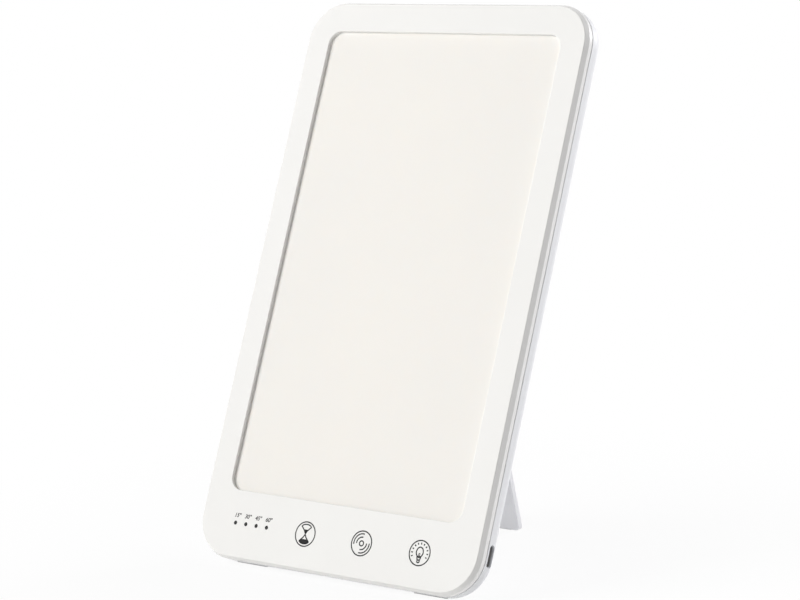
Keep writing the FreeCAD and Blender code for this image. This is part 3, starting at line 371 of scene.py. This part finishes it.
def board(name, mask, track):
    """Solder mask with tracks that show through as stepped lines."""
    material = surface(name, mask, mask, (0.26, 0.34), 1.52,
                       drift_mm=12, grain_mm=0.9, depth_mm=0.004)
    tree = material.node_tree
    place = add(tree, "ShaderNodeTexCoord", {}).outputs["Object"]
    cells = add(tree, "ShaderNodeTexVoronoi", {"Vector": place, "Scale": per_metre(TRACK_MM)},
                distance="CHEBYCHEV", feature="F2")
    line = add(tree, "ShaderNodeMath",
               {0: cells.outputs["Distance"], 1: TRACKS_PER_CELL}, operation="MULTIPLY")
    step = add(tree, "ShaderNodeMath", {0: line.outputs["Value"]}, operation="FRACT")
    shown = add(tree, "ShaderNodeMath",
                {0: step.outputs["Value"], 1: TRACK_SHARE}, operation="LESS_THAN")
    mixed = add(tree, "ShaderNodeMix",
                {"Factor": shown.outputs["Value"], MIX_A: linear(mask), MIX_B: linear(track)},
                data_type="RGBA")
    tree.links.new(mixed.outputs[MIX_COLOUR], tree.nodes["Principled BSDF"].inputs["Base Color"])
    return material


green_board = board("fr4_green_mask", "#1E5B3A", "#2F7A4E")
white_board = board("fr4_white_mask", "#F2F2EE", "#E2E2DC")
chip_epoxy = surface("epoxy_moulded_black", "#1D1E20", "#26272A", (0.50, 0.62), 1.55,
                     drift_mm=2, grain_mm=0.3, depth_mm=0.008)
ferrite = surface("ferrite_pressed", "#4A4C4F", "#3F4144", (0.55, 0.68), 1.6,
                  drift_mm=2, grain_mm=0.4, depth_mm=0.015)
ceramic = surface("ceramic_fired_tan", "#B08D63", "#A17F57", (0.42, 0.52), 1.6,
                  drift_mm=1.5, grain_mm=0.3, depth_mm=0.006)
phosphor = surface("silicone_phosphor_led", "#F1E58C", "#EBDD7A", (0.30, 0.40), 1.45,
                   drift_mm=2, grain_mm=0.4, depth_mm=0.004)
lead_film = surface("pet_flat_lead_white", "#EFF0F2", "#E4E6E9", (0.30, 0.38), 1.57,
                    drift_mm=5, grain_mm=0.6, depth_mm=0.006)
cover_node(green_board, "touch_board", "main_board")
cover_node(white_board, "led_strip_left", "led_strip_right")
cover_node(chip_epoxy, "controller_chip", "driver_chip")
cover_node(ferrite, "driver_inductor")
cover_node(ceramic, "capacitors")
cover_node(phosphor, "leds_left", "leds_right", "timer_leds")
cover_node(lead_film, "led_ribbon_left", "led_ribbon_right")

# %% [markdown]
# ## Tools for the front print
#
# The icons are pad-printed ink. They could be an image, or a mask in the bezel's material, but
# then they would have no thickness and no clean edge. Here each stroke is a flat mesh: an arc is
# a short edge spun about a centre, a straight stroke is a stretched square, and an outline is a
# filled shape whose middle is cut out after an inset. Everything is drawn in millimetres, seen
# from the front, with X to the right and Y up.

# %% Strokes and outlines
SEGMENTS = 64
INK_PROUD_MM = 0.03
INK_SUNK_MM = 0.02


def spot(bm, centre, across, high):
    """A filled ellipse. Returns its face."""
    place = Matrix.Translation((*centre, 0)) @ Matrix.Diagonal((across / 2, high / 2, 1, 1))
    made = bmesh.ops.create_circle(bm, cap_ends=True, segments=SEGMENTS, radius=1, matrix=place)
    return made["verts"][0].link_faces[0]


def arc(bm, radius, width, first, last, centre=(0, 0)):
    """A curved stroke between two angles: a short edge spun about its centre."""
    middle = Vector((*centre, 0))
    out = Vector((math.cos(math.radians(first)), math.sin(math.radians(first)), 0))
    ends = [bm.verts.new(middle + out * (radius + side * width / 2)) for side in (-1, 1)]
    edge = bm.edges.new(ends)
    turn = last - first
    bmesh.ops.spin(bm, geom=[*ends, edge], cent=middle, axis=(0, 0, 1), angle=math.radians(turn),
                   steps=max(8, round(SEGMENTS * turn / 360)), use_merge=turn == 360)


def bar(bm, start, end, width):
    """A straight stroke: a square face stretched between two points."""
    start, end = Vector((*start, 0)), Vector((*end, 0))
    along = end - start
    turned = Matrix.Rotation(math.atan2(along.y, along.x), 4, "Z")
    sized = Matrix.Diagonal((along.length, width, 1, 1))
    bmesh.ops.create_grid(bm, x_segments=1, y_segments=1, size=0.5,
                          matrix=Matrix.Translation((start + end) / 2) @ turned @ sized)


def outline(bm, face, width):
    """Leave only a line of that width along a face's border."""
    bmesh.ops.inset_region(bm, faces=[face], thickness=width, use_even_offset=True,
                           use_boundary=True)
    bmesh.ops.delete(bm, geom=[face], context="FACES_ONLY")


# %% [markdown]
# ## From flat strokes to a piece of the lamp
#
# A flat sheet would vanish when seen edge-on, and it would flicker where it touches the bezel. So
# the strokes are extruded by the thickness of the ink, and sunk a hair into the plastic. The
# normals are recalculated last, because the extruded shells are closed by then and have a clear
# inside. The piece then rides on the panel, so it would move with it.

# %% Give the ink its thickness and place it
FACE_ON = Matrix.Rotation(math.radians(90), 4, "X")


def make_piece(name, bm, material):
    """A named piece from a bmesh in the panel's millimetres. It rides on the panel."""
    bmesh.ops.transform(bm, matrix=panel_to_lamp, verts=bm.verts)
    mesh = bpy.data.meshes.new(name)
    bm.to_mesh(mesh)
    bm.free()
    mesh.materials.append(material)
    piece = bpy.data.objects.new(name, mesh)
    bpy.context.scene.collection.objects.link(piece)
    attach(piece, "panel")
    print(name, "has", len(mesh.polygons), "faces")
    return piece


def print_on_face(name, bm, across, height):
    """Thicken flat strokes into ink and set them on the front face."""
    for loose in [edge for edge in bm.edges if not edge.link_faces]:
        bm.edges.remove(loose)
    grown = bmesh.ops.extrude_face_region(bm, geom=bm.faces[:])
    raised = [part for part in grown["geom"] if isinstance(part, bmesh.types.BMVert)]
    bmesh.ops.translate(bm, vec=(0, 0, INK_PROUD_MM + INK_SUNK_MM), verts=raised)
    bmesh.ops.translate(bm, vec=(0, 0, -INK_SUNK_MM), verts=bm.verts)
    bmesh.ops.recalc_face_normals(bm, faces=bm.faces[:])
    place = Matrix.Translation((across, 0, height)) @ FACE_ON
    bmesh.ops.transform(bm, matrix=place, verts=bm.verts)
    return make_piece(name, bm, ink)


# %% [markdown]
# ## The timer button's icon
#
# Each touch button is a ring with a sign in it. The first is an hourglass, for the timer. Its
# two bulbs are alike, so one function draws a bulb: half an ellipse, with the straight edge
# extruded step by step down to the waist. The outline of a bulb is its glass, and the same bulb
# cut off by a plane is its sand.

# %% Hourglass in a ring
BUTTON_ACROSS = (-14.9, 14.1, 43.1)
BUTTON_HEIGHT = 14.9
RING_RADIUS = 4.96
LINE = 0.50
RIM_HEIGHT, RIM_ACROSS, RIM_HIGH = 2.85, 5.3, 2.7
BULB_STEPS = ((2.0, 1.75), (1.1, 0.85), (0.05, 0.28))
SAND_TOPS = ((1, 1.85), (-1, -2.1))


def bulb(bm, side):
    """One filled bulb of the hourglass, above the waist for side 1 and below for -1."""
    rim = spot(bm, (0, RIM_HEIGHT * side), RIM_ACROSS, RIM_HIGH)
    parts = bmesh.ops.bisect_plane(bm, geom=[rim, *rim.edges, *rim.verts],
                                   plane_co=(0, RIM_HEIGHT * side, 0), plane_no=(0, side, 0),
                                   clear_inner=True)
    chord = [cut for cut in parts["geom_cut"] if isinstance(cut, bmesh.types.BMEdge)]
    faces = {face for edge in chord for face in edge.link_faces}
    for height, half in BULB_STEPS:
        grown = bmesh.ops.extrude_edge_only(bm, edges=chord)["geom"]
        chord = [part for part in grown if isinstance(part, bmesh.types.BMEdge)
                 and len(part.link_faces) == 1 and all(v in grown for v in part.verts)]
        faces |= {part for part in grown if isinstance(part, bmesh.types.BMFace)}
        for edge in chord:
            for vert in edge.verts:
                vert.co = (math.copysign(half, vert.co.x), height * side, 0)
    return bmesh.ops.dissolve_faces(bm, faces=list(faces))["region"][0]


timer_icon = bmesh.new()
arc(timer_icon, RING_RADIUS, LINE, 0, 360)
for side, fill in SAND_TOPS:
    outline(timer_icon, bulb(timer_icon, side), LINE)
    sand = bulb(timer_icon, side)
    bmesh.ops.bisect_plane(timer_icon, geom=[sand, *sand.edges, *sand.verts],
                           plane_co=(0, fill, 0), plane_no=(0, 1, 0), clear_outer=True)
print_on_face("timer_icon_print", timer_icon, BUTTON_ACROSS[0], BUTTON_HEIGHT)

# %% [markdown]
# ## The mode button's icon
#
# The second button chooses the light's mode. Its sign is a small ring with two pairs of waves,
# one pair up to the left and one down to the right. All of them are arcs about one centre, so
# a short table of radii and angles is enough.

# %% Waves in a ring
WAVES = [(1.0, 0, 360), (2.5, 82, 184), (3.85, 80, 190), (2.5, 262, 366), (3.85, 260, 366)]

mode_icon = bmesh.new()
arc(mode_icon, RING_RADIUS, LINE, 0, 360)
for radius, first, last in WAVES:
    arc(mode_icon, radius, LINE, first, last)
print_on_face("mode_icon_print", mode_icon, BUTTON_ACROSS[1], BUTTON_HEIGHT)

# %% [markdown]
# ## The light button's icon
#
# The third button switches the light. Its sign is a light bulb with a filament, a short neck, a
# small round cap and eleven rays. The rays are one short bar turned about the centre again and
# again, and the round forms are ellipses that keep only their outline.

# %% Light bulb in a ring
RAYS = 11
RAY_FROM, RAY_TO = -24.0, 203.0
RAY_INNER, RAY_OUTER = 3.35, 4.15
# The glass and the cap: height of the centre, width and height
ROUND_FORMS = ((0.35, 3.8, 4.4), (-3.3, 1.6, 1.6))
NECK_TOP, NECK_END = (0.95, -1.45), (0.6, -2.8)
FILAMENT_HALF, FILAMENT_LOW, FILAMENT_HIGH, FILAMENT_LINE = 0.25, -2.1, -0.4, 0.3

light_icon = bmesh.new()
arc(light_icon, RING_RADIUS, LINE, 0, 360)
for height, across, high in ROUND_FORMS:
    outline(light_icon, spot(light_icon, (0, height), across, high), LINE)
for side in (-1, 1):
    bar(light_icon, (side * NECK_TOP[0], NECK_TOP[1]), (side * NECK_END[0], NECK_END[1]), LINE)
    wire = side * FILAMENT_HALF
    bar(light_icon, (wire, FILAMENT_LOW), (wire, FILAMENT_HIGH), FILAMENT_LINE)
arc(light_icon, FILAMENT_HALF, FILAMENT_LINE, 0, 180, centre=(0, FILAMENT_HIGH))
for ray in range(RAYS):
    angle = math.radians(RAY_FROM + (RAY_TO - RAY_FROM) * ray / (RAYS - 1))
    out = Vector((math.cos(angle), math.sin(angle)))
    bar(light_icon, out * RAY_INNER, out * RAY_OUTER, LINE)
print_on_face("light_icon_print", light_icon, BUTTON_ACROSS[2], BUTTON_HEIGHT)

# %% [markdown]
# ## The timer's numbers
#
# Over each timer window stands its time: 15, 30, 45 and 60 minutes, in small slanted figures.
# Blender's own font gives clean figures, and a text object has a shear for the slant. Each text
# becomes a mesh before it is placed, and all four are gathered into one bmesh, so that they are
# thickened and placed just as the icons are.

# %% Slanted figures
TIMES = (15, 30, 45, 60)
TIMER_ACROSS, TIMER_PITCH = -52.2, 5.57
NUMBER_HEIGHT = 18.0
FIGURE_MM = 2.45
SLANT = 0.22
BOLDER_MM = 0.035
TO_THE_RIGHT = 0.3
WELD_MM = 0.001

numbers = bmesh.new()
for place, minutes in enumerate(TIMES):
    text = bpy.data.curves.new("figures", "FONT")
    text.body = '%d"' % minutes
    text.size = FIGURE_MM
    text.shear = SLANT
    text.offset = BOLDER_MM
    text.align_x = "CENTER"
    text.align_y = "CENTER"
    written = bpy.data.objects.new("figures", text)
    bpy.context.scene.collection.objects.link(written)
    bpy.context.view_layer.update()
    shown = written.evaluated_get(bpy.context.evaluated_depsgraph_get())
    flat = bpy.data.meshes.new_from_object(shown)
    flat.transform(Matrix.Translation((TO_THE_RIGHT + TIMER_PITCH * place, 0, 0)))
    numbers.from_mesh(flat)
    bpy.data.objects.remove(written)
    bpy.data.meshes.remove(flat)
bmesh.ops.remove_doubles(numbers, verts=numbers.verts, dist=WELD_MM)
print_on_face("timer_numbers_print", numbers, TIMER_ACROSS, NUMBER_HEIGHT)

# %% [markdown]
# ## Contacts in the port
#
# A USB-C tongue carries twelve flat contacts on each face, half a millimetre apart. They are
# tiny, but a port without them looks like a plain slot. One thin bar is made and copied along
# the tongue, on both of its faces.

# %% Gold contacts on the tongue
CONTACTS = 12
CONTACT_PITCH, CONTACT_WIDTH, CONTACT_LENGTH, CONTACT_PROUD = 0.5, 0.28, 3.4, 0.04
CONTACT_EDGE, CONTACT_FROM_TIP = 0.015, 0.5
TONGUE_TIP, TONGUE_MIDDLE, TONGUE_HALF, PORT_HEIGHT = 70.3, 7.2, 0.35, 18.4

contacts = bmesh.new()
inwards = TONGUE_TIP - CONTACT_FROM_TIP - CONTACT_LENGTH / 2
sized = Matrix.Diagonal((CONTACT_LENGTH, 2 * CONTACT_PROUD, CONTACT_WIDTH, 1))
for face in (-1, 1):
    for contact in range(CONTACTS):
        height = PORT_HEIGHT + CONTACT_PITCH * (contact - (CONTACTS - 1) / 2)
        centre = Vector((inwards, TONGUE_MIDDLE + face * TONGUE_HALF, height))
        bmesh.ops.create_cube(contacts, size=1, matrix=Matrix.Translation(centre) @ sized)
bmesh.ops.bevel(contacts, geom=contacts.edges[:], offset=CONTACT_EDGE, offset_type="OFFSET",
                segments=1, profile=0.5, affect="EDGES", material=-1)
make_piece("port_contacts", contacts, contact_gold)

# %% [markdown]
# ## The floor
#
# The photograph has a pure white background. A real studio uses a white paper sweep. Here one
# wide disc of matt white paper catches the lamp's shadow. Towards the camera, and in mirrors,
# part of its light is replaced by plain white, more of it further out, so that the paper ends
# nowhere. The lamp itself is still lit only by what the paper really throws back.

# %% White paper under the lamp
PAPER_RADIUS = 8.0
PAPER_ROUGHNESS, PAPER_SHEEN = 0.9, 0.1
SHADOW_KEPT = 0.09
FADE_FROM, FADE_TO = 0.07, 0.24

paper = bpy.data.materials.new("paper_matt_white")
paper.use_nodes = True
tree = paper.node_tree
shader = tree.nodes["Principled BSDF"]
shader.inputs["Base Color"].default_value = linear("#FAFAFA")
shader.inputs["Roughness"].default_value = PAPER_ROUGHNESS
shader.inputs["Specular IOR Level"].default_value = PAPER_SHEEN
place = add(tree, "ShaderNodeTexCoord", {}).outputs["Object"]
away = add(tree, "ShaderNodeVectorMath", {0: place}, operation="LENGTH")
fade = add(tree, "ShaderNodeMapRange",
           {"Value": away.outputs["Value"], "From Min": FADE_FROM, "From Max": FADE_TO,
            "To Min": 1 - SHADOW_KEPT, "To Max": 1.0})
share = add(tree, "ShaderNodeMath", {0: is_seen(tree), 1: fade.outputs["Result"]},
            operation="MULTIPLY")
white = add(tree, "ShaderNodeEmission", {"Color": (1, 1, 1, 1), "Strength": 1.0})
mixed = add(tree, "ShaderNodeMixShader",
            {0: share.outputs[0], 1: shader.outputs["BSDF"], 2: white.outputs["Emission"]})
tree.links.new(mixed.outputs["Shader"], tree.nodes["Material Output"].inputs["Surface"])

disc = bmesh.new()
bmesh.ops.create_circle(disc, cap_ends=True, segments=128, radius=PAPER_RADIUS)
mesh = bpy.data.meshes.new("paper_floor")
disc.to_mesh(mesh)
disc.free()
mesh.materials.append(paper)
floor = bpy.data.objects.new("paper_floor", mesh)
bpy.context.scene.collection.objects.link(floor)
floor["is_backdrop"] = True
print("paper floor is", 2 * PAPER_RADIUS, "m across")

# %% [markdown]
# ## The light
#
# In the photograph the face is bright, the right bevel is clearly darker, and the side behind
# it is brighter again. So the lamp is lit from two sides: a large soft box high up at the front
# left, and a second one behind to the right, which the bevel hardly sees. The front box is kept
# out of the mirror images, because the photographed face shows no glare. A white room fills the
# rest. Each box is set by the level it gives a surface that faces it, where 1 shows a colour
# as it is written.

# %% Soft boxes and room
WHITE_ROOM = 1.0
ROOM_FILL = 0.19
AIM_HEIGHT = 0.11


def soft_box(name, direction, distance, size, level, tint="#FFFFFF", mirrored=True):
    """A square area light. At this level alone, white that faces it shows as that share."""
    light = bpy.data.lights.new(name, "AREA")
    light.shape = "SQUARE"
    light.size = size
    light.energy = level * (math.pi * distance) ** 2
    light.color = linear(tint)[:3]
    lamp = bpy.data.objects.new(name, light)
    aim = Vector(direction).normalized()
    lamp.matrix_world = (Matrix.Translation(aim * distance + Vector((0, 0, AIM_HEIGHT)))
                         @ aim.to_track_quat("Z", "Y").to_matrix().to_4x4())
    lamp.visible_glossy = mirrored
    bpy.context.scene.collection.objects.link(lamp)
    print(name, "at", [round(v, 2) for v in lamp.location], "with", round(light.energy, 1), "W")


soft_box("key_box", (-0.60, -0.66, 0.45), 6.0, 3.6, 0.93, mirrored=False)
soft_box("rear_box", (0.50, 0.78, 0.36), 4.0, 2.0, 0.80, tint="#FBFBFF")

world = bpy.data.worlds.new("white_room")
world.use_nodes = True
bpy.context.scene.world = world
tree = world.node_tree
level = add(tree, "ShaderNodeMapRange",
            {"Value": is_seen(tree), "To Min": ROOM_FILL, "To Max": WHITE_ROOM})
background = tree.nodes["Background"]
background.inputs["Color"].default_value = (1, 1, 1, 1)
tree.links.new(level.outputs["Result"], background.inputs["Strength"])
bpy.context.scene.view_settings.view_transform = "Standard"

# %% [markdown]
# ## Measure and finish
#
# The dressed lamp's box is measured and printed in millimetres.

# %% Measure the dressed box
low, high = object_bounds()
print("dressed box in mm:", [round((b - a) / MM, 2) for a, b in zip(low, high)])
